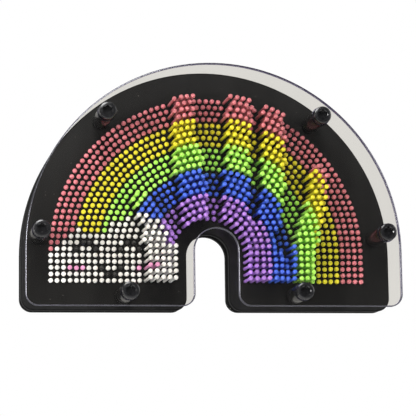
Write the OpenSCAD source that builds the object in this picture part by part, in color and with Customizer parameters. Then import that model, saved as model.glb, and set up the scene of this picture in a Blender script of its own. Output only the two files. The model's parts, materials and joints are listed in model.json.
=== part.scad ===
// Pin art impression toy in the shape of a rainbow.
// Coloured pins slide through two black pin plates. A clear cover stands off in front
// on six spacer tubes, and six cap screws and nuts hold the stack together.
// +Z is up, +X runs along the width and the heads of the pins face -Y.
// The origin is on the ground, in the middle of the width and of the depth.

/* [Outline] */
// Outer radius of the arch, which is half the width
arch_radius = 104; // [86:1:126]
// Height of the straight legs, from the ground to the arch centre
leg_height = 30.5; // [25:0.5:40]
// Radius of the notch between the legs
notch_radius = 12; // [8:0.5:16]
// Radius of the corners at the bottom of the legs
corner_radius = 7; // [3:0.5:8]

/* [Stack] */
// Thickness of the clear cover
cover_t = 3; // [2:0.5:5]
// Clear distance from the front pin plate to the cover
cover_gap = 25; // [20:0.5:32]
// Thickness of the front pin plate
front_plate_t = 4; // [2.5:0.5:6]
// Thickness of the frame between the pin plates
frame_t = 5.5; // [3:0.5:9]
// Thickness of the rear pin plate
rear_plate_t = 4; // [2.5:0.5:6]
// How far the frame stands back from the edge of the plates
groove_depth = 2.5; // [1:0.5:4]

/* [Pins] */
// Distance between neighbouring pins
pin_pitch = 3.5; // [3.3:0.1:4.9]
// Diameter of a pin's shaft
shaft_d = 1.7; // [1.2:0.1:1.9]
// How far a pin's head stands out past its shaft
head_overhang = 0.45; // [0.4:0.05:0.5]
// Height of a pin's head
head_h = 1.9; // [1.2:0.1:3]
// Play between a shaft and its hole, across the diameter
hole_play = 0.6; // [0.4:0.05:0.7]
// Largest sideways lean of a pin in its hole
pin_lean = 0.14; // [0:0.01:0.15]
// Length that stays behind the rear plate when a pin is fully forward
tail_rest = 2.5; // [1:0.5:6]
// Distance from the edge of the plates to the outermost ring of pins
field_margin = 16.4; // [14:0.1:22]
// Least distance from the notch to the innermost ring of pins
notch_margin = 8; // [6:0.5:12]
// Least height of the lowest row of pins above the ground
bottom_margin = 15; // [13:0.5:20]

/* [Fasteners] */
// Thread size of the cap screws
screw_d = 6; // [4:0.5:6.5]
// Diameter of a cap screw's head
screw_head_d = 9.6; // [8:0.2:10.4]
// Height of a cap screw's head
screw_head_h = 5.6; // [4:0.2:7]
// Width across the flats of the hex socket
socket_af = 5; // [3:0.5:5.5]
// Depth of the hex socket
socket_depth = 3.2; // [2:0.2:3.6]
// Wall of a spacer tube
spacer_wall = 1.4; // [1:0.1:2]
// Width across the flats of a nut
nut_af = 10; // [8:0.5:11]
// Thickness of a nut
nut_t = 5; // [3:0.5:6]
// Distance from the edge of the plates to a screw's axis
screw_inset = 8; // [7:0.5:9]
// Angle of the upper screws above the arch centre
upper_screw_angle = 51.5; // [40:0.5:65]
// Angle of the side screws above the arch centre
side_screw_angle = 6.2; // [2:0.2:20]
// Distance from the middle to each bottom screw
bottom_screw_x = 48; // [30:1:70]

/* [Hidden] */

// Smoothness of the small and the large round shapes
small_fn = 24;
large_fn = 128;

// Clearances
seat_gap = 0.1;        // under a head that rests on the front plate
cover_clearance = 0.3; // between the cover and a head that is fully forward
bolt_play = 0.4;       // between a screw and what it passes through
thread_play = 0.2;     // between a screw and its nut
counterbore_play = 0.8;
counterbore_depth = 0.6;
thread_end = 2;        // screw beyond the nut
window_play = 1.2;     // from the pins to the inside of the frame
cut = 1;               // how far a cut passes beyond what it cuts

// Depths, from the front of the toy to its back
body_t = front_plate_t + frame_t + rear_plate_t;
pin_travel = cover_gap - head_h - seat_gap - cover_clearance;
tail_length = seat_gap + body_t + pin_travel + tail_rest;
front_reach = cover_gap + cover_t + screw_head_h - counterbore_depth;
rear_reach = body_t + pin_travel + tail_rest;
face_y = (front_reach - rear_reach) / 2;
cover_y = face_y - cover_gap - cover_t;
frame_y = face_y + front_plate_t;
rear_plate_y = frame_y + frame_t;
back_y = face_y + body_t;
hole_d = shaft_d + hole_play;
head_d = shaft_d + 2 * head_overhang;
bolt_hole_d = screw_d + bolt_play;
spacer_d = bolt_hole_d + 2 * spacer_wall;

// The field of pins: rings round the arch centre that run on down the legs
field_radius = arch_radius - field_margin;
ring_count = 1 + floor((field_radius - notch_radius - notch_margin) / pin_pitch);
leg_rows = floor((leg_height - bottom_margin) / pin_pitch);
function ring_radius(k) = field_radius - pin_pitch * k;
function arc_steps(k) = floor(PI * ring_radius(k) / pin_pitch);
function arc_seat(k, i) =
    let (a = 180 * i / arc_steps(k), r = ring_radius(k))
    [-r * cos(a), r * sin(a), k, leg_rows + i];
function leg_seats(k) =
    [for (j = [1:leg_rows]) for (side = [-1, 1])
        [side * ring_radius(k), -pin_pitch * j, k, leg_rows - j]];
function ring_seats(k) = concat(leg_seats(k), [for (i = [0:arc_steps(k)]) arc_seat(k, i)]);
// Each seat is [x, height above the arch centre, ring, row counted up the left leg]
seats = [for (k = [0:ring_count - 1]) each ring_seats(k)];

// Colours of the pins
RED = 0;
YELLOW = 1;
GREEN = 2;
BLUE = 3;
PURPLE = 4;
WHITE = 5;
PINK = 6;
BLACK = 7;
band_count = 5;
pin_colors = [
    [0.86, 0.34, 0.42], [0.90, 0.84, 0.13], [0.48, 0.88, 0.25], [0.17, 0.30, 0.86],
    [0.60, 0.36, 0.82], [0.93, 0.93, 0.92], [0.86, 0.50, 0.76], [0.06, 0.06, 0.07]
];

// The cloud fills the foot of the left leg: a base and three round lobes,
// each [x, height, radius] on a field of radius print_radius
print_radius = 87.6;
print_scale = field_radius / print_radius;
cloud_lobes = [[-72, 4, 10.2], [-62, 2, 10], [-42, 3, 18.4]];
// A plain smiling face on the cloud, as [rings inwards from the middle ring, row]
face_cells = [[-6, 5], [-5, 6], [-4, 6], [-3, 5], [1, 5], [2, 6], [3, 6], [4, 5],
              [-2, 2], [-1, 1], [0, 1], [1, 2]];
cheek_cells = [[-7, 2], [-6, 2], [-5, 2], [4, 2], [5, 2], [6, 2]];
middle_ring = floor(ring_count / 2);
function has_cell(cells, s) =
    len([for (c = cells) if (c == [s[2] - middle_ring, s[3]]) c]) > 0;
function in_lobe(x, z) =
    len([for (l = cloud_lobes)
        if (norm([x / print_scale - l[0], z / print_scale - l[1]]) < l[2]) l]) > 0;
function in_cloud(s) =
    s[0] < 0 && (s[3] <= leg_rows || (s[3] == leg_rows + 1 && s[2] > 0) || in_lobe(s[0], s[1]));
function band_color(s) = floor(s[2] * band_count / ring_count);

// The hand that pushes the pins from behind. Each digit is a row of round pads,
// [x, height above the arch centre, radius, push], on a field of radius print_radius.
thumb_pads = [[-38, 28, 6.2, 14], [-31, 13, 7.8, 17], [-28.5, 0, 8.6, 19], [-28, -20, 9.2, 20]];
index_pads = [[-15.7, 96, 5.4, 20], [-16.3, 70, 6, 20], [-13.8, 53, 8.4, 19.5],
              [-10.5, 38, 8.3, 18.5], [-9, 18, 7.5, 16]];
middle_pads = [[17, 96, 6.6, 20], [15.2, 70, 7.2, 20], [14.5, 50, 7.4, 18.5],
               [14, 35, 7.8, 17], [13, 18, 8, 16]];
third_pads = [[35, 86, 5.8, 18], [35.3, 68, 6.5, 19], [35.3, 52, 6.6, 18],
              [34, 36, 7, 17], [32, 16, 7, 16]];
little_pads = [[60.5, 44, 5, 20], [59.3, 32, 5.8, 21.5], [56, 18, 6.2, 21],
               [52, 5, 6.8, 20], [49, -20, 8.6, 17]];
palm_pads = [[15, 18, 5.5, 16], [26, 7, 8.5, 16], [31, -8, 12, 17], [33, -20, 13.5, 17.5]];
hand = [thumb_pads, index_pads, middle_pads, third_pads, little_pads, palm_pads];
pad_crown = 0.4;   // share of a round pad's fall towards its edge
push_scatter = 1;  // unevenness of the push

// Zones of pins that are pushed together, then those that are not pushed
THUMB = 0;
INDEX = 1;
MIDDLE = 2;
THIRD = 3;
LITTLE = 4;
PALM = 5;
CLOUD = 6;
LEFT = 7;
GAP = 8;
RIGHT = 9;
index_line = -13;
third_line = 34;

// Repeatable unevenness between -1 and 1
function uneven(x, z, seed) =
    let (s = sin(7919 * x + 10473 * z + 613 * seed) * 4375.85) 2 * (s - floor(s)) - 1;
function pad_push(x, z, a, b) =
    let (d = b - a,
         t = ((x - a[0]) * d[0] + (z - a[1]) * d[1]) / (d[0] * d[0] + d[1] * d[1]),
         p = a + max(0, min(1, t)) * d,
         off = norm([x - p[0], z - p[1]]))
    off < p[2] ? p[3] - pad_crown * (p[2] - sqrt(p[2] * p[2] - off * off)) : 0;
function digit_push(x, z, pads) =
    max([for (i = [0:len(pads) - 2]) pad_push(x, z, pads[i], pads[i + 1])]);
function still_zone(s) =
    let (x = s[0] / print_scale)
    in_cloud(s) ? CLOUD : x < index_line ? LEFT : x < third_line ? GAP : RIGHT;
// The palm takes the inner pins at the feet of the third and little fingers
function pushed_zone(s, digit) =
    (digit == THIRD && band_color(s) > BLUE) || (digit == LITTLE && band_color(s) > GREEN)
    ? PALM : digit;
// The dark pins of the face all stay still
function pin_color(s, zone) =
    !in_cloud(s) ? band_color(s) : has_cell(cheek_cells, s) ? PINK
    : zone == CLOUD && has_cell(face_cells, s) ? BLACK : WHITE;
// Each pin is [x, height above the arch centre, colour, zone, lift]
function pin_at(s) =
    let (x = s[0] / print_scale,
         z = s[1] / print_scale,
         pushes = [for (pads = hand) digit_push(x, z, pads)],
         push = max(pushes),
         zone = push > 0 ? pushed_zone(s, search(push, pushes)[0]) : still_zone(s))
    [s[0] + pin_lean * uneven(x, z, 1), s[1] + pin_lean * uneven(x, z, 2), pin_color(s, zone), zone,
     push > 0 ? min(pin_travel, push + push_scatter * uneven(x, z, 3)) : 0];
pins = [for (s = seats) pin_at(s)];

// Screw axes, as [x, height above the arch centre]
screw_radius = arch_radius - screw_inset;
screw_axes = [for (side = [-1, 1]) each [
    [side * screw_radius * cos(upper_screw_angle), screw_radius * sin(upper_screw_angle)],
    [side * screw_radius * cos(side_screw_angle), screw_radius * sin(side_screw_angle)],
    [side * bottom_screw_x, screw_inset - leg_height]]];

// A slab in the plane of the plates, from depth y to y + t
module slab(y, t) {
    translate([0, y + t, leg_height]) rotate([90, 0, 0]) linear_extrude(t) children();
}

// Something turned about the axis of each screw, its own +Z facing the front
module at_screws(y) {
    for (a = screw_axes)
        translate([a[0], y, leg_height + a[1]]) rotate([90, 0, 0]) children();
}

// The rounded end of one leg
module foot(outer, inner, bottom, corner) {
    translate([inner + corner, bottom]) square([outer - inner - 2 * corner, 2 * corner]);
    for (x = [inner + corner, outer - corner])
        translate([x, bottom + corner]) circle(corner, $fn = small_fn);
}

// An arch on two legs, with its arch centre at the origin
module arch(outer, inner, bottom, corner) {
    shoulder = bottom + corner;
    difference() {
        union() {
            intersection() {
                circle(outer, $fn = large_fn);
                translate([-outer, shoulder]) square([2 * outer, outer - shoulder + cut]);
            }
            translate([-outer, shoulder]) square([2 * outer, -shoulder]);
        }
        circle(inner, $fn = large_fn);
        translate([-inner, shoulder - cut]) square([2 * inner, cut - shoulder]);
    }
    foot(outer, inner, bottom, corner);
    mirror([1, 0]) foot(outer, inner, bottom, corner);
}

module outline(inset) {
    arch(arch_radius - inset, notch_radius + inset, inset - leg_height, corner_radius - inset / 2);
}

module screw_holes(d) {
    for (a = screw_axes) translate(a) circle(d = d, $fn = small_fn);
}

module pin_plate_2d() {
    difference() {
        outline(0);
        for (s = seats) translate([s[0], s[1]]) circle(d = hole_d, $fn = small_fn);
        screw_holes(bolt_hole_d);
    }
}

module clear_cover() {
    color([0.85, 0.88, 0.9, 0.3]) {
        difference() {
            slab(cover_y, cover_t) difference() {
                outline(0);
                screw_holes(bolt_hole_d);
            }
            at_screws(cover_y + counterbore_depth)
                cylinder(h = counterbore_depth + cut, d = screw_head_d + counterbore_play, $fn = small_fn);
        }
    }
}

module front_pin_plate() {
    color([0.1, 0.1, 0.11]) slab(face_y, front_plate_t) pin_plate_2d();
}

module groove_frame() {
    window_edge = shaft_d / 2 + pin_lean + window_play;
    color([0.07, 0.07, 0.08]) slab(frame_y, frame_t) difference() {
        outline(groove_depth);
        arch(field_radius + window_edge, ring_radius(ring_count - 1) - window_edge,
             -leg_rows * pin_pitch - window_edge, window_edge);
        screw_holes(bolt_hole_d);
    }
}

module rear_pin_plate() {
    color([0.1, 0.1, 0.11]) slab(rear_plate_y, rear_plate_t) pin_plate_2d();
}

module cap_screw() {
    chamfer = screw_head_d / 24;
    shank_r = screw_d / 2;
    shank_end = -(cover_t - counterbore_depth + cover_gap + body_t + nut_t + thread_end);
    difference() {
        rotate_extrude($fn = small_fn) polygon([
            [0, shank_end], [shank_r - chamfer, shank_end], [shank_r, shank_end + chamfer],
            [shank_r, 0], [screw_head_d / 2, 0], [screw_head_d / 2, screw_head_h - chamfer],
            [screw_head_d / 2 - chamfer, screw_head_h], [0, screw_head_h]]);
        translate([0, 0, screw_head_h - socket_depth])
            cylinder(h = socket_depth + cut, d = socket_af / cos(30), $fn = 6);
    }
}

module cap_screws() {
    color([0.05, 0.05, 0.06]) at_screws(cover_y + counterbore_depth) cap_screw();
}

module spacer_tubes() {
    color([0.06, 0.06, 0.07]) at_screws(face_y) difference() {
        cylinder(h = cover_gap, d = spacer_d, $fn = small_fn);
        translate([0, 0, -cut])
            cylinder(h = cover_gap + 2 * cut, d = bolt_hole_d, $fn = small_fn);
    }
}

module rear_nuts() {
    color([0.05, 0.05, 0.06]) at_screws(back_y + nut_t) difference() {
        cylinder(h = nut_t, d = nut_af / cos(30), $fn = 6);
        translate([0, 0, -cut])
            cylinder(h = nut_t + 2 * cut, d = screw_d + thread_play, $fn = small_fn);
    }
}

// One pin: the back of its head is at the origin and the head faces +Z
module pin() {
    head_r = head_d / 2;
    shaft_r = shaft_d / 2;
    tail_r = shaft_r * 0.6;
    dome_h = head_h * 0.6;
    rim = head_h - dome_h;
    dome_steps = 4;
    flat_angle = 75;
    dome = [for (i = [0:dome_steps]) let (a = flat_angle * i / dome_steps)
        [head_r * cos(a), rim + dome_h * sin(a) / sin(flat_angle)]];
    rotate_extrude($fn = small_fn) polygon(concat(
        [[0, -tail_length], [tail_r, -tail_length], [shaft_r, -tail_length + shaft_r], [shaft_r, 0],
         [head_r, 0]],
        dome, [[0, head_h]]));
}

// The pins of one colour in one zone
module pins_of(zone, colour) {
    color(pin_colors[colour])
        for (p = pins)
            if (p[2] == colour && p[3] == zone)
                translate([p[0], face_y - seat_gap - p[4], leg_height + p[1]])
                    rotate([90, 0, 0]) pin();
}

module cloud_white() { pins_of(CLOUD, WHITE); }
module cloud_black() { pins_of(CLOUD, BLACK); }
module cloud_pink() { pins_of(CLOUD, PINK); }
module left_red() { pins_of(LEFT, RED); }
module left_yellow() { pins_of(LEFT, YELLOW); }
module left_green() { pins_of(LEFT, GREEN); }
module left_blue() { pins_of(LEFT, BLUE); }
module left_purple() { pins_of(LEFT, PURPLE); }
module thumb_white() { pins_of(THUMB, WHITE); }
module thumb_pink() { pins_of(THUMB, PINK); }
module thumb_green() { pins_of(THUMB, GREEN); }
module thumb_blue() { pins_of(THUMB, BLUE); }
module thumb_purple() { pins_of(THUMB, PURPLE); }
module index_red() { pins_of(INDEX, RED); }
module index_yellow() { pins_of(INDEX, YELLOW); }
module index_green() { pins_of(INDEX, GREEN); }
module index_blue() { pins_of(INDEX, BLUE); }
module index_purple() { pins_of(INDEX, PURPLE); }
module middle_red() { pins_of(MIDDLE, RED); }
module middle_yellow() { pins_of(MIDDLE, YELLOW); }
module middle_green() { pins_of(MIDDLE, GREEN); }
module middle_blue() { pins_of(MIDDLE, BLUE); }
module middle_purple() { pins_of(MIDDLE, PURPLE); }
module third_red() { pins_of(THIRD, RED); }
module third_yellow() { pins_of(THIRD, YELLOW); }
module third_green() { pins_of(THIRD, GREEN); }
module third_blue() { pins_of(THIRD, BLUE); }
module little_red() { pins_of(LITTLE, RED); }
module little_yellow() { pins_of(LITTLE, YELLOW); }
module little_green() { pins_of(LITTLE, GREEN); }
module palm_blue() { pins_of(PALM, BLUE); }
module palm_purple() { pins_of(PALM, PURPLE); }
module gap_red() { pins_of(GAP, RED); }
module gap_yellow() { pins_of(GAP, YELLOW); }
module gap_green() { pins_of(GAP, GREEN); }
module gap_blue() { pins_of(GAP, BLUE); }
module gap_purple() { pins_of(GAP, PURPLE); }
module right_red() { pins_of(RIGHT, RED); }
module right_yellow() { pins_of(RIGHT, YELLOW); }
module right_green() { pins_of(RIGHT, GREEN); }
module right_blue() { pins_of(RIGHT, BLUE); }

clear_cover();
front_pin_plate();
groove_frame();
rear_pin_plate();
cap_screws();
spacer_tubes();
rear_nuts();
cloud_white();
cloud_black();
cloud_pink();
left_red();
left_yellow();
left_green();
left_blue();
left_purple();
thumb_white();
thumb_pink();
thumb_green();
thumb_blue();
thumb_purple();
index_red();
index_yellow();
index_green();
index_blue();
index_purple();
middle_red();
middle_yellow();
middle_green();
middle_blue();
middle_purple();
third_red();
third_yellow();
third_green();
third_blue();
little_red();
little_yellow();
little_green();
palm_blue();
palm_purple();
gap_red();
gap_yellow();
gap_green();
gap_blue();
gap_purple();
right_red();
right_yellow();
right_green();
right_blue();
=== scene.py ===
import json
from math import cos, pi, radians, sin, sqrt

import bmesh
import bpy
import numpy as np
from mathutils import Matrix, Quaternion, Vector
from mathutils.geometry import delaunay_2d_cdt


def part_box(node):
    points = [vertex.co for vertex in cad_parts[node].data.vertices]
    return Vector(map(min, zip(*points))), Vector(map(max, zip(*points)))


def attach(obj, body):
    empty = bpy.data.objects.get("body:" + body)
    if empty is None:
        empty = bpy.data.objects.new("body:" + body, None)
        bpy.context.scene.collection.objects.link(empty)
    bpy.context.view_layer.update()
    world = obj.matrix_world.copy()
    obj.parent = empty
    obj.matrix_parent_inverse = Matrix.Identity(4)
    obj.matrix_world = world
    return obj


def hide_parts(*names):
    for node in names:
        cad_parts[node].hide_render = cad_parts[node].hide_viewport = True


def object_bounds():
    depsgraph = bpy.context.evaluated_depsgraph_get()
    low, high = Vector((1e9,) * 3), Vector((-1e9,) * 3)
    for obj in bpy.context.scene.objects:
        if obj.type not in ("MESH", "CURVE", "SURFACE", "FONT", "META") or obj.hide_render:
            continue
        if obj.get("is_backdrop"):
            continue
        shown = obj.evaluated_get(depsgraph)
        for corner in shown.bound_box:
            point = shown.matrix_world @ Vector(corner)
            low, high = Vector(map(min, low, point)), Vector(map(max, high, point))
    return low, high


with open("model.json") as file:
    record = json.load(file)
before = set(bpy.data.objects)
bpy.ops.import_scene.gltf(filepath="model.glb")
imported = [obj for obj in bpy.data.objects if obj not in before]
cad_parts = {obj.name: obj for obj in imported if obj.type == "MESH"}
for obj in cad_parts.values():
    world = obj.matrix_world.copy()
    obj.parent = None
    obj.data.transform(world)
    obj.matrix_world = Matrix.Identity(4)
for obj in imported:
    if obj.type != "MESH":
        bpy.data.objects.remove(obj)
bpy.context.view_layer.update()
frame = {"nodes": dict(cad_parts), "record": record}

# Pin art impression toy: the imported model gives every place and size, in metres.
# The cover faces -Y and the toy stands on z = 0.

MM = 0.001
STACK_BODY = "stack"


# ---------------------------------------------------------------- node helpers

def new_material(name):
    """A material with its node tree and its Principled shader."""
    material = bpy.data.materials.new(name)
    material.use_nodes = True
    tree = material.node_tree
    shader = next(n for n in tree.nodes if n.type == "BSDF_PRINCIPLED")
    return material, tree, shader


def add_node(tree, kind, inputs=None, **settings):
    node = tree.nodes.new(kind)
    for key, value in settings.items():
        setattr(node, key, value)
    for key, value in (inputs or {}).items():
        if isinstance(value, bpy.types.NodeSocket):
            tree.links.new(value, node.inputs[key])
        else:
            node.inputs[key].default_value = value
    return node


def object_point(tree, stretch=(1, 1, 1)):
    """The place on the piece in metres, stretched along each axis."""
    place = add_node(tree, "ShaderNodeTexCoord").outputs["Object"]
    return add_node(tree, "ShaderNodeMapping", {"Vector": place, "Scale": stretch}).outputs[0]


def noise(tree, scale, detail=3.0, stretch=(1, 1, 1), rough=0.55):
    inputs = {"Vector": object_point(tree, stretch), "Scale": scale, "Detail": detail, "Roughness": rough}
    return add_node(tree, "ShaderNodeTexNoise", inputs).outputs["Fac"]


def remap(tree, value, low, high, to_low, to_high):
    inputs = {"Value": value, "From Min": low, "From Max": high, "To Min": to_low, "To Max": to_high}
    return add_node(tree, "ShaderNodeMapRange", inputs).outputs["Result"]


def mix_color(tree, amount, first, second):
    node = add_node(tree, "ShaderNodeMix", data_type="RGBA")
    for socket, value in ((node.inputs[0], amount), (node.inputs[6], first), (node.inputs[7], second)):
        if isinstance(value, bpy.types.NodeSocket):
            tree.links.new(value, socket)
        else:
            socket.default_value = value
    return node.outputs[2]


def combine(tree, operation, first, second):
    return add_node(tree, "ShaderNodeMath", {0: first, 1: second}, operation=operation).outputs[0]


def bump(tree, height, distance, strength=1.0):
    inputs = {"Height": height, "Distance": distance, "Strength": strength}
    return add_node(tree, "ShaderNodeBump", inputs).outputs["Normal"]


def specks(tree, scale, size, share):
    """1 on a few small round specks and 0 elsewhere: size and share are parts of a cell."""
    cells = add_node(tree, "ShaderNodeTexVoronoi", {"Vector": object_point(tree), "Scale": scale})
    near = remap(tree, cells.outputs["Distance"], size, size * 0.4, 0.0, 1.0)
    chosen = add_node(tree, "ShaderNodeSeparateColor", {"Color": cells.outputs["Color"]}).outputs[0]
    return combine(tree, "MULTIPLY", near, combine(tree, "LESS_THAN", chosen, share))


# ------------------------------------------------------------------- materials

def make_black_plastic(name, smooth, rough, shine):
    """Satin moulded plastic with wiped smears and a little dust."""
    material, tree, shader = new_material(name)
    smears = noise(tree, 34.0, 5.0, (1.0, 1.0, 0.12))
    grain = noise(tree, 2600.0, 2.0)
    dust = specks(tree, 420.0, 0.16, 0.07)
    base = mix_color(tree, remap(tree, smears, 0.45, 0.8, 0.0, 1.0),
                     (0.0018, 0.0018, 0.002, 1), (0.0068, 0.0068, 0.0072, 1))
    dusty = mix_color(tree, combine(tree, "MULTIPLY", dust, 0.6), base, (0.16, 0.155, 0.145, 1))
    tree.links.new(dusty, shader.inputs["Base Color"])
    tree.links.new(remap(tree, smears, 0.3, 0.75, smooth, rough), shader.inputs["Roughness"])
    tree.links.new(bump(tree, grain, 0.000006, 0.5), shader.inputs["Normal"])
    shader.inputs["Specular IOR Level"].default_value = shine
    return material


def make_black_steel():
    """Black oxide on steel, worn a little where the edges are rubbed."""
    material, tree, shader = new_material("black_steel")
    edge = add_node(tree, "ShaderNodeNewGeometry").outputs["Pointiness"]
    patches = noise(tree, 700.0, 4.0)
    worn = combine(tree, "MULTIPLY", remap(tree, edge, 0.62, 0.8, 0.0, 1.0),
                   remap(tree, patches, 0.4, 0.65, 0.1, 0.8))
    base = mix_color(tree, worn, (0.004, 0.004, 0.0045, 1), (0.035, 0.034, 0.032, 1))
    tree.links.new(base, shader.inputs["Base Color"])
    tree.links.new(remap(tree, patches, 0.3, 0.7, 0.14, 0.28), shader.inputs["Roughness"])
    tree.links.new(bump(tree, noise(tree, 3000.0, 2.0), 0.000002, 0.4), shader.inputs["Normal"])
    shader.inputs["Specular IOR Level"].default_value = 0.4
    return material


def make_spacer_plastic():
    """Turned black tube with very fine rings."""
    material, tree, shader = new_material("spacer_plastic")
    rings = noise(tree, 60.0, 2.0, (0.4, 60.0, 0.4))
    tint = mix_color(tree, noise(tree, 300.0), (0.004, 0.004, 0.0045, 1), (0.010, 0.010, 0.0105, 1))
    tree.links.new(tint, shader.inputs["Base Color"])
    tree.links.new(remap(tree, rings, 0.3, 0.7, 0.16, 0.3), shader.inputs["Roughness"])
    shader.inputs["Specular IOR Level"].default_value = 0.4
    tree.links.new(bump(tree, rings, 0.000015, 0.4), shader.inputs["Normal"])
    return material


PIN_TINTS = {
    "red": (0.57, 0.165, 0.205),
    "yellow": (0.72, 0.65, 0.020),
    "green": (0.42, 0.88, 0.125),
    "blue": (0.050, 0.135, 0.76),
    "purple": (0.39, 0.19, 0.69),
    "white": (0.75, 0.755, 0.77),
    "pink": (0.72, 0.30, 0.55),
    "black": (0.008, 0.008, 0.009),
}


def make_pin_plastic(color):
    """Moulded plastic: each pin differs a little in shade, with a fine orange-peel gloss."""
    material, tree, shader = new_material("pin_" + color)
    full = PIN_TINTS[color]
    each = add_node(tree, "ShaderNodeNewGeometry").outputs["Random Per Island"]
    clouds = noise(tree, 420.0, 3.0)
    shade = combine(tree, "ADD", combine(tree, "MULTIPLY", each, 0.75),
                    combine(tree, "MULTIPLY", clouds, 0.25))
    deep = tuple(0.80 * part for part in full) + (1,)
    pale = tuple(min(0.9, 1.06 * part + 0.006) for part in full) + (1,)
    tree.links.new(mix_color(tree, shade, deep, pale), shader.inputs["Base Color"])
    tree.links.new(remap(tree, clouds, 0.3, 0.7, 0.27, 0.4), shader.inputs["Roughness"])
    tree.links.new(bump(tree, noise(tree, 1800.0, 2.0), 0.00003, 0.4), shader.inputs["Normal"])
    if color != "black":
        shader.inputs["Subsurface Weight"].default_value = 0.12
        shader.inputs["Subsurface Radius"].default_value = (0.0012, 0.0010, 0.0009)
        shader.inputs["Subsurface Scale"].default_value = 1.0
    return material


def make_clear_face():
    """The flat faces of the cover: seen straight through, with a thin mirror and faint wiping marks."""
    material, tree, shader = new_material("clear_plastic")
    tree.nodes.remove(shader)
    marks = noise(tree, 18.0, 5.0, (1.0, 1.0, 0.5))
    clear = mix_color(tree, remap(tree, marks, 0.35, 0.75, 0.0, 1.0),
                      (0.86, 0.85, 0.825, 1), (0.83, 0.82, 0.795, 1))
    through = add_node(tree, "ShaderNodeBsdfTransparent", {"Color": clear})
    gloss = add_node(tree, "ShaderNodeBsdfAnisotropic",
                     {"Roughness": remap(tree, marks, 0.4, 0.8, 0.02, 0.11), "Color": (0.9, 0.9, 0.92, 1)})
    facing = add_node(tree, "ShaderNodeLayerWeight", {"Blend": 0.5}).outputs["Facing"]
    grazing = combine(tree, "MULTIPLY", combine(tree, "POWER", facing, 5.0), 0.48)
    share = combine(tree, "ADD", grazing, 0.02)
    both = add_node(tree, "ShaderNodeMixShader", {0: share, 1: through.outputs[0], 2: gloss.outputs[0]})
    output = next(n for n in tree.nodes if n.type == "OUTPUT_MATERIAL")
    tree.links.new(both.outputs[0], output.inputs["Surface"])
    return material


def make_clear_edge_painted_shade():
    """The cover's edges: a dark, faintly violet see-through tint that is painted shade for the dark line
    light makes inside the edge, with a soft gloss.
    """
    material, tree, shader = new_material("clear_edge")
    saw = noise(tree, 90.0, 3.0, (1.0, 6.0, 1.0))
    # painted shade: this dark violet see-through tint stands in for the edge's optical dark line; the saw
    # noise varies it a little
    tint = mix_color(tree, saw, (0.07, 0.06, 0.115, 1), (0.115, 0.10, 0.175, 1))
    tree.nodes.remove(shader)
    through = add_node(tree, "ShaderNodeBsdfTransparent", {"Color": tint})
    gloss = add_node(tree, "ShaderNodeBsdfAnisotropic",
                     {"Roughness": remap(tree, saw, 0.3, 0.7, 0.2, 0.3), "Color": (0.9, 0.9, 1.0, 1)})
    facing = add_node(tree, "ShaderNodeLayerWeight", {"Blend": 0.5}).outputs["Facing"]
    share = remap(tree, facing, 0.0, 1.0, 0.06, 0.13)
    both = add_node(tree, "ShaderNodeMixShader", {0: share, 1: through.outputs[0], 2: gloss.outputs[0]})
    output = next(n for n in tree.nodes if n.type == "OUTPUT_MATERIAL")
    tree.links.new(both.outputs[0], output.inputs["Surface"])
    return material


def make_floor_paint():
    """Matt pale paint with faint large clouds."""
    material, tree, shader = new_material("pale_floor")
    tint = mix_color(tree, noise(tree, 2.0), (0.80, 0.80, 0.79, 1), (0.84, 0.84, 0.83, 1))
    tree.links.new(tint, shader.inputs["Base Color"])
    shader.inputs["Roughness"].default_value = 0.85
    return material


# ---------------------------------------------------------------- mesh helpers

WELD_DISTANCE = 0.001 * MM
FACE_TOLERANCE = 0.01 * MM
LARGE_LOOP = 20 * MM  # loops wider than this are outlines or windows, not holes


def welded(node):
    """A bmesh copy of a CAD node with its faces joined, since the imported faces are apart."""
    mesh = bmesh.new()
    mesh.from_mesh(frame["nodes"][node].data)
    bmesh.ops.remove_doubles(mesh, verts=mesh.verts, dist=WELD_DISTANCE)
    mesh.normal_update()
    return mesh


def loose_boxes(node):
    """The (low, high) corners of each separate solid in a CAD node."""
    mesh = welded(node)
    boxes, seen = [], set()
    for start in mesh.verts:
        if start.index in seen:
            continue
        seen.add(start.index)
        stack, group = [start], []
        while stack:
            vert = stack.pop()
            group.append(vert.co[:])
            for edge in vert.link_edges:
                other = edge.other_vert(vert)
                if other.index not in seen:
                    seen.add(other.index)
                    stack.append(other)
        points = np.array(group)
        boxes.append((points.min(0), points.max(0)))
    mesh.free()
    return boxes


def rim_loops(node, side):
    """Ordered (x, z) points of each edge loop round the front (side -1) or back (side 1) face."""
    mesh = welded(node)
    face_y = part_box(node)[0 if side < 0 else 1].y
    nexts = {}
    for edge in mesh.edges:
        on_face = all(abs(vert.co.y - face_y) < FACE_TOLERANCE for vert in edge.verts)
        if on_face and len(edge.link_faces) == 2:
            turned = sorted(side * face.normal.y for face in edge.link_faces)
            if turned[1] > 0.9 and turned[0] < 0.5:
                for vert in edge.verts:
                    nexts.setdefault(vert, []).append(edge.other_vert(vert))
    loops, done = [], set()
    for start in nexts:
        if start in done:
            continue
        loop, vert = [start], nexts[start][0]
        done.add(start)
        while vert is not start:
            loop.append(vert)
            done.add(vert)
            vert = next((n for n in nexts[vert] if n not in done), start)
        loops.append(np.array([(v.co.x, v.co.z) for v in loop]))
    mesh.free()
    return loops


def split_loops(loops):
    """The outline, the other large loops, and the round holes as (x, z, radius)."""
    spans = [np.ptp(loop, axis=0) for loop in loops]
    order = sorted(range(len(loops)), key=lambda i: -spans[i].max())
    large = [loops[i] for i in order if spans[i].max() > LARGE_LOOP]
    holes = [(*((loops[i].min(0) + loops[i].max(0)) / 2), spans[i].mean() / 2)
             for i in order if spans[i].max() <= LARGE_LOOP]
    return large[0], large[1:], holes


def counterclockwise(loop):
    x, z = loop.T
    turned = np.sum(x * np.roll(z, -1) - np.roll(x, -1) * z)
    return loop if turned > 0 else loop[::-1]


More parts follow.
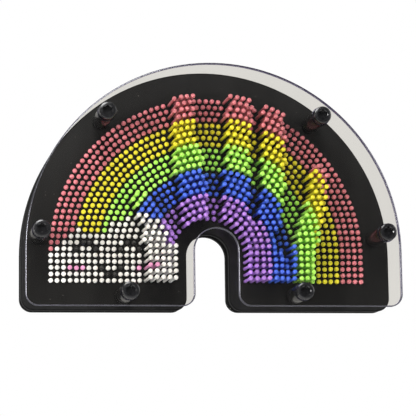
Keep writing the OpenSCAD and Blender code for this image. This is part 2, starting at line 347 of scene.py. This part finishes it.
def shifted(loop, distance):
    """A counterclockwise loop moved outwards by a distance, square to its edges."""
    before = loop - np.roll(loop, 1, axis=0)
    after = np.roll(loop, -1, axis=0) - loop
    normals = [np.stack([d[:, 1], -d[:, 0]], 1) / np.linalg.norm(d, axis=1)[:, None]
               for d in (before, after)]
    middle = normals[0] + normals[1]
    middle /= np.linalg.norm(middle, axis=1)[:, None]
    reach = distance / np.maximum(0.4, (middle * normals[0]).sum(1))
    return loop + middle * reach[:, None]


def circle(x, z, radius, count):
    angles = 2 * pi * np.arange(count) / count
    return np.stack([x + radius * np.cos(angles), z + radius * np.sin(angles)], 1)


def inside(points, loop):
    """Which (x, z) points lie inside a loop, by how often a ray to the right crosses it."""
    hits = np.zeros(len(points), bool)
    for (x0, z0), (x1, z1) in zip(loop, np.roll(loop, -1, axis=0)):
        if z0 != z1:
            crosses = (points[:, 1] > min(z0, z1)) & (points[:, 1] <= max(z0, z1))
            hits ^= crosses & (points[:, 0] < x0 + (points[:, 1] - z0) * (x1 - x0) / (z1 - z0))
    return hits


def new_piece(name, points, faces, materials, slots=None):
    data = bpy.data.meshes.new(name)
    data.from_pydata([tuple(p) for p in points], [], [tuple(f) for f in faces])
    if slots is not None:
        data.polygons.foreach_set("material_index", slots)
    for material in materials:
        data.materials.append(material)
    data.validate()
    mesh = bmesh.new()
    mesh.from_mesh(data)
    bmesh.ops.recalc_face_normals(mesh, faces=mesh.faces)
    mesh.to_mesh(data)
    mesh.free()
    data.shade_smooth()
    data.set_sharp_from_angle(angle=radians(32))
    if slots is not None:
        data.polygons.foreach_set("use_smooth", [slot > 0 for slot in slots])
    piece = bpy.data.objects.new(name, data)
    bpy.context.scene.collection.objects.link(piece)
    return piece


def stand_in(piece, body, node):
    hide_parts(node)
    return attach(piece, body)


def strips(first_ring, ring_size, ring_count, backwards=False):
    """Quads between neighbouring rings of points, each ring closed on itself."""
    faces = []
    for ring in range(ring_count - 1):
        start = first_ring + ring * ring_size
        for i in range(ring_size):
            j = (i + 1) % ring_size
            quad = (start + i, start + j, start + ring_size + j, start + ring_size + i)
            faces.append(quad[::-1] if backwards else quad)
    return faces


# --------------------------------------------------------- plates and the cover

ROUNDING_STEPS = 4
PIN_HOLE_LIMIT = 2 * MM  # the radius that parts the pins' holes from the screws'
PIN_HOLE_SEGMENTS = 20
SCREW_HOLE_SEGMENTS = 48
COUNTERBORE_DEPTH = 0.6 * MM
STEP_LIMIT = 0.2 * MM  # a hole that narrows by more than this is counterbored
CDT_TOLERANCE = 1e-4  # in millimetres, the units of the flat points


def slab_piece(name, node, materials, rounding):
    """A flat part rebuilt from its CAD outline and holes, with its outer edges rounded over."""
    low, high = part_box(node)
    front = split_loops(rim_loops(node, -1))
    back = split_loops(rim_loops(node, 1))
    outline = counterclockwise(front[0])
    arc = [pi / 2 * i / ROUNDING_STEPS for i in range(ROUNDING_STEPS + 1)]
    profile = [(rounding * (1 - sin(a)), low.y + rounding * (1 - cos(a))) for a in arc]
    profile += [(inset, high.y - (y - low.y)) for inset, y in reversed(profile)]
    points, faces, slots = [], [], []

    def add_walls(rings, inwards):
        first, size = len(points), len(rings[0][0])
        for loop, y in rings:
            points.extend((x, y, z) for x, z in loop)
        walls = strips(first, size, len(rings), inwards)
        faces.extend(walls)
        slots.extend([len(materials) - 1] * len(walls))
        return first, first + (len(rings) - 1) * size

    cap_loops = {"front": [], "back": []}
    rings = [(shifted(outline, -inset), y) for inset, y in profile]
    ends = add_walls(rings, False)
    size = len(outline)
    cap_loops["front"].append((ends[0], size, rings[0][0]))
    cap_loops["back"].append((ends[1], size, rings[-1][0]))
    for loop in front[1]:
        rings = [(counterclockwise(loop), y) for y in (low.y, high.y)]
        ends = add_walls(rings, True)
        cap_loops["front"].append((ends[0], len(loop), rings[0][0]))
        cap_loops["back"].append((ends[1], len(loop), rings[-1][0]))
    for x, z, radius in front[2]:
        behind = min(back[2], key=lambda hole: (hole[0] - x) ** 2 + (hole[1] - z) ** 2)
        count = PIN_HOLE_SEGMENTS if radius < PIN_HOLE_LIMIT else SCREW_HOLE_SEGMENTS
        rings = [(circle(x, z, radius, count), low.y)]
        if radius - behind[2] > STEP_LIMIT:
            step = low.y + COUNTERBORE_DEPTH
            rings += [(circle(x, z, radius, count), step), (circle(x, z, behind[2], count), step)]
        rings.append((circle(x, z, behind[2], count), high.y))
        ends = add_walls(rings, True)
        cap_loops["front"].append((ends[0], count, rings[0][0]))
        cap_loops["back"].append((ends[1], count, rings[-1][0]))

    for side, loops in cap_loops.items():
        flat, edges, index = [], [], []
        for first, count, loop in loops:
            base = len(flat)
            flat.extend(Vector(p / MM) for p in loop)
            index.extend(range(first, first + count))
            edges.extend((base + i, base + (i + 1) % count) for i in range(count))
        result = delaunay_2d_cdt(flat, edges, [], 0, CDT_TOLERANCE)
        source = [origins[0] for origins in result[3]]
        triangles = np.array([tri for tri in result[2] if len(tri) == 3])
        places = np.array([p[:] for p in result[0]]) * MM
        middles = places[triangles].mean(1)
        keep = inside(middles, loops[0][2])
        for _, count, loop in loops[1:]:
            centre, reach = loop.mean(0), np.ptp(loop, axis=0).max() / 2
            near = keep & (np.abs(middles - centre).max(1) < reach)
            keep[near] &= ~inside(middles[near], loop)
        for tri in triangles[keep]:
            face = [index[source[i]] for i in tri]
            faces.append(face if side == "front" else face[::-1])
            slots.append(0)
    return new_piece(name, points, faces, materials, slots)


# ----------------------------------------------------------------- turned parts

def hex_radius(angle, across_flats):
    """Distance from the centre to a hexagon's side, in the direction of an angle."""
    turn = (angle + pi / 6) % (pi / 3) - pi / 6
    return across_flats / 2 / cos(turn)


def turned_piece(name, centre, front_y, profile, segments, material):
    """A solid whose rings follow profile: (depth behind front_y, radius or radius by angle, depth)."""
    x, z = centre
    angles = [2 * pi * i / segments for i in range(segments)]
    points = []
    for depth, radius in profile:
        for angle in angles:
            r = radius(angle, depth) if callable(radius) else radius
            points.append((x + r * cos(angle), front_y + depth, z + r * sin(angle)))
    faces = strips(0, segments, len(profile))
    if profile[0] == profile[-1]:
        del points[-segments:]
        last = (len(profile) - 1) * segments
        faces = [tuple(i % last for i in face) for face in faces]
    else:
        for first, depth in ((0, profile[0][0]), ((len(profile) - 1) * segments, profile[-1][0])):
            points.append((x, front_y + depth, z))
            faces += [(first + i, first + (i + 1) % segments, len(points) - 1) for i in range(segments)]
    return new_piece(name, points, faces, [material])


KNURLS = 36
THREAD_PITCH = 1.0 * MM
THREAD_LENGTH = 7.5 * MM
THREAD_STEPS = 54
SCREW_RADIUS = 3.0 * MM
SCREW_HOLE_RADIUS = 3.2 * MM


def middle_of(low, high):
    """The (x, z) axis of a box."""
    return (low[0] + high[0]) / 2, (low[2] + high[2]) / 2


def cap_screw_piece(name, low, high, material):
    """A socket head cap screw: knurled head, hex socket, plain shank and a cut thread at the end."""
    head_r = (high[0] - low[0]) / 2
    length = high[1] - low[1]
    head_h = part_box("clear_cover")[0].y + COUNTERBORE_DEPTH - low[1]
    shank_r = SCREW_RADIUS
    chamfer = 0.4 * MM
    socket_af = 5 * MM
    socket_depth = 3.2 * MM
    thread_depth = 0.32 * MM
    knurl_depth = 0.09 * MM

    def knurled(angle, depth):
        return head_r - knurl_depth * (0.5 - 0.5 * cos(KNURLS * angle))

    def socket(angle, depth):
        return hex_radius(angle, socket_af)

    def threaded(angle, depth):
        turn = (depth / THREAD_PITCH + angle / (2 * pi)) % 1
        return shank_r - thread_depth * abs(2 * turn - 1)

    profile = [(socket_depth, 0.6 * MM), (socket_depth, socket), (0.35 * MM, socket), (0, 2.95 * MM),
               (0, head_r - chamfer - 0.1 * MM), (0.12 * MM, head_r - chamfer * 0.55),
               (chamfer, head_r - knurl_depth), (chamfer + 0.1 * MM, knurled),
               (head_h - 1.0 * MM, knurled),
               (head_h - 0.9 * MM, head_r - knurl_depth), (head_h - 0.1 * MM, head_r - 0.02 * MM),
               (head_h, head_r - 0.2 * MM), (head_h, shank_r)]
    start = length - THREAD_LENGTH
    end = length - 0.5 * MM
    profile.append((start, shank_r))
    profile += [(start + (end - start) * (i + 1) / THREAD_STEPS, threaded) for i in range(THREAD_STEPS)]
    profile.append((length, shank_r - 0.7 * MM))
    return turned_piece(name, middle_of(low, high), low[1], profile, 2 * KNURLS, material)


def spacer_piece(name, low, high, material):
    """A turned tube with broken edges."""
    outer = (high[0] - low[0]) / 2
    inner = SCREW_HOLE_RADIUS
    length = high[1] - low[1]
    edge = 0.25 * MM
    profile = [(0, inner + edge), (0, outer - edge), (edge * 0.3, outer - edge * 0.3), (edge, outer),
               (length - edge, outer), (length - edge * 0.3, outer - edge * 0.3), (length, outer - edge),
               (length, inner + edge), (length - edge, inner), (edge, inner), (0, inner + edge)]
    return turned_piece(name, middle_of(low, high), low[1], profile, 64, material)


def nut_piece(name, low, high, material):
    """A hex nut, chamfered on both faces."""
    across = min(high[0] - low[0], high[2] - low[2])
    corner = across / 2 / cos(pi / 6)
    flat_r = across / 2 * 0.95
    inner = SCREW_RADIUS + 0.1 * MM
    thick = high[1] - low[1]
    slope = sqrt(3)
    steps = 4
    drop = (corner - flat_r) / slope

    def limited(angle, depth):
        nearest = min(depth, thick - depth)
        return min(hex_radius(angle, across), flat_r + slope * nearest)

    ramp = [drop * i / steps for i in range(steps + 1)]
    lead = 0.5 * MM
    profile = [(0, inner + lead)] + [(d, limited) for d in ramp]
    profile += [(thick - d, limited) for d in reversed(ramp)]
    profile += [(thick, inner + lead), (thick - lead, inner), (lead, inner), (0, inner + lead)]
    return turned_piece(name, middle_of(low, high), low[1], profile, 72, material)


# ------------------------------------------------------------------------- pins

PIN_SEGMENTS = 16
SHAFT_SHARE = 0.654  # of the head's radius
HEAD_SHARE = 1.9 / 1.3  # a head's height over its radius


def pin_profile(head_r, head_h, length):
    """(depth behind the tip of the head, radius) along one pin, from the dimple to the tail."""
    shaft_r = head_r * SHAFT_SHARE
    dimple = [(0.10, 0.0), (0.09, 0.14), (0.045, 0.22), (0.01, 0.28), (0.0, 0.34)]
    dome = [(0.022, 0.52), (0.085, 0.69), (0.2, 0.85), (0.36, 0.955), (0.55, 1.0), (0.9, 1.0), (1.0, 0.95)]
    head = [(depth * head_h, radius * head_r) for depth, radius in dimple + dome]
    neck = [(head_h, shaft_r * 1.12), (head_h * 1.06, shaft_r)]
    tail = [(length - shaft_r, shaft_r), (length - shaft_r * 0.35, shaft_r * 0.8),
            (length, shaft_r * 0.55), (length, 0.0)]
    return head + neck + tail


def pins_piece(node, body, material):
    """All the pins of one colour on one body, finer than their CAD solids and in the same places."""
    places = loose_boxes(node)
    angles = [2 * pi * i / PIN_SEGMENTS for i in range(PIN_SEGMENTS)]
    points, faces = [], []
    for low, high in places:
        head_r = (high[0] - low[0]) / 2
        x, z = (low[0] + high[0]) / 2, (low[2] + high[2]) / 2
        profile = pin_profile(head_r, HEAD_SHARE * head_r, high[1] - low[1])
        first = len(points)
        points.append((x, low[1] + profile[0][0], z))
        for depth, radius in profile[1:-1]:
            points.extend((x + radius * cos(a), low[1] + depth, z + radius * sin(a)) for a in angles)
        points.append((x, high[1], z))
        rings = len(profile) - 2
        last = first + 1 + (rings - 1) * PIN_SEGMENTS
        sides = [(i, (i + 1) % PIN_SEGMENTS) for i in range(PIN_SEGMENTS)]
        faces.extend((first, first + 1 + j, first + 1 + i) for i, j in sides)
        faces.extend(strips(first + 1, PIN_SEGMENTS, rings))
        faces.extend((len(points) - 1, last + i, last + j) for i, j in sides)
    piece = new_piece(node + "_pins", points, faces, [material])
    return stand_in(piece, body, node)


# ------------------------------------------------------------------- the pieces

COVER_ROUNDING = 0.6 * MM
PLATE_ROUNDINGS = {"front_pin_plate": 0.7 * MM, "groove_frame": 0.3 * MM, "rear_pin_plate": 0.7 * MM}
FASTENERS = (("cap_screws", "cap_screw", cap_screw_piece, "black_steel"),
             ("spacer_tubes", "spacer_tube", spacer_piece, "spacer_plastic"),
             ("rear_nuts", "rear_nut", nut_piece, "black_steel"))

black_plastics = [make_black_plastic("black_plastic", 0.4, 0.58, 0.15),
                  make_black_plastic("black_sawn", 0.55, 0.7, 0.06)]
fastener_materials = {"black_steel": make_black_steel(), "spacer_plastic": make_spacer_plastic()}
pin_plastics = {color: make_pin_plastic(color) for color in PIN_TINTS}

cover_materials = [make_clear_face(), make_clear_edge_painted_shade()]
cover = slab_piece("clear_cover_sheet", "clear_cover", cover_materials, COVER_ROUNDING)
stand_in(cover, STACK_BODY, "clear_cover")
for node, rounding in PLATE_ROUNDINGS.items():
    plate = slab_piece(node + "_moulding", node, black_plastics, rounding)
    stand_in(plate, STACK_BODY, node)

for node, prefix, build, slot in FASTENERS:
    boxes = sorted(loose_boxes(node), key=lambda box: (box[0][0], box[0][2]))
    for number, (low, high) in enumerate(boxes, 1):
        piece = build(f"{prefix}_{number}", low, high, fastener_materials[slot])
        stand_in(piece, STACK_BODY, node)

for body, nodes in frame["record"]["behaviour"]["bodies"].items():
    if body != STACK_BODY:
        for node in nodes:
            pins_piece(node, body, pin_plastics[node.rsplit("_", 1)[1]])


# ------------------------------------------------------- floor, light and camera

FLOOR_Z = -0.30
FLOOR_REACH = 4.0
floor_corners = [(x * FLOOR_REACH, y * FLOOR_REACH, 0) for x, y in ((-1, -1), (1, -1), (1, 1), (-1, 1))]
floor_data = bpy.data.meshes.new("floor")
floor_data.from_pydata(floor_corners, [], [(0, 1, 2, 3)])
floor_data.materials.append(make_floor_paint())
floor = bpy.data.objects.new("floor", floor_data)
floor.location.z = FLOOR_Z
bpy.context.scene.collection.objects.link(floor)
floor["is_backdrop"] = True


def add_light(name, place, target, size, power, tint=(1, 1, 1)):
    data = bpy.data.lights.new(name, "AREA")
    data.shape = "SQUARE"
    data.size = size
    data.energy = power
    data.color = tint
    light = bpy.data.objects.new(name, data)
    light.location = place
    light.rotation_euler = (Vector(target) - Vector(place)).to_track_quat("-Z", "Y").to_euler()
    bpy.context.scene.collection.objects.link(light)


middle = (0.0, 0.0, 0.06)
add_light("key", (-1.15, -0.95, 0.16), middle, 0.55, 41, (1.0, 0.99, 0.975))
add_light("front", (-0.25, -1.3, 0.95), middle, 0.6, 30)
add_light("fill", (1.4, -1.0, 0.5), middle, 0.9, 20)

# The room: white behind the toy and dimmer in front of it, so that black stays black
world = bpy.data.worlds.new("studio")
world.use_nodes = True
bpy.context.scene.world = world
sky = world.node_tree
background = next(n for n in sky.nodes if n.type == "BACKGROUND")
direction = add_node(sky, "ShaderNodeTexCoord").outputs["Generated"]
depth = add_node(sky, "ShaderNodeSeparateXYZ", {"Vector": direction}).outputs["Y"]
blend = remap(sky, depth, -0.35, 0.75, 0.0, 1.0)
sky.links.new(mix_color(sky, blend, (0.14, 0.14, 0.145, 1), (1, 1, 1, 1)), background.inputs["Color"])
background.inputs["Strength"].default_value = 1.0

VIEW_YAW = radians(10.6)
VIEW_PITCH = radians(8.21)
VIEW_ROLL = radians(-0.83)
VIEW_DISTANCE = 1.0875
front_low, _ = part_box("front_pin_plate")
aim = Vector((0.0004, front_low.y - 1.05 * MM, 0.0575))
look = Vector((sin(VIEW_YAW) * cos(VIEW_PITCH), cos(VIEW_YAW) * cos(VIEW_PITCH), sin(VIEW_PITCH)))
camera_data = bpy.data.cameras.new("photo_view")
camera_data.lens = 168.5
camera_data.sensor_width = 36.0
camera_data.clip_start = 0.01
camera = bpy.data.objects.new("photo_view", camera_data)
camera.location = aim - look * VIEW_DISTANCE
turn = look.to_track_quat("-Z", "Y") @ Quaternion((0, 0, 1), VIEW_ROLL)
camera.rotation_euler = turn.to_euler()
bpy.context.scene.collection.objects.link(camera)
bpy.context.scene.camera = camera
bpy.context.scene.view_settings.view_transform = "Standard"

low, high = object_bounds()
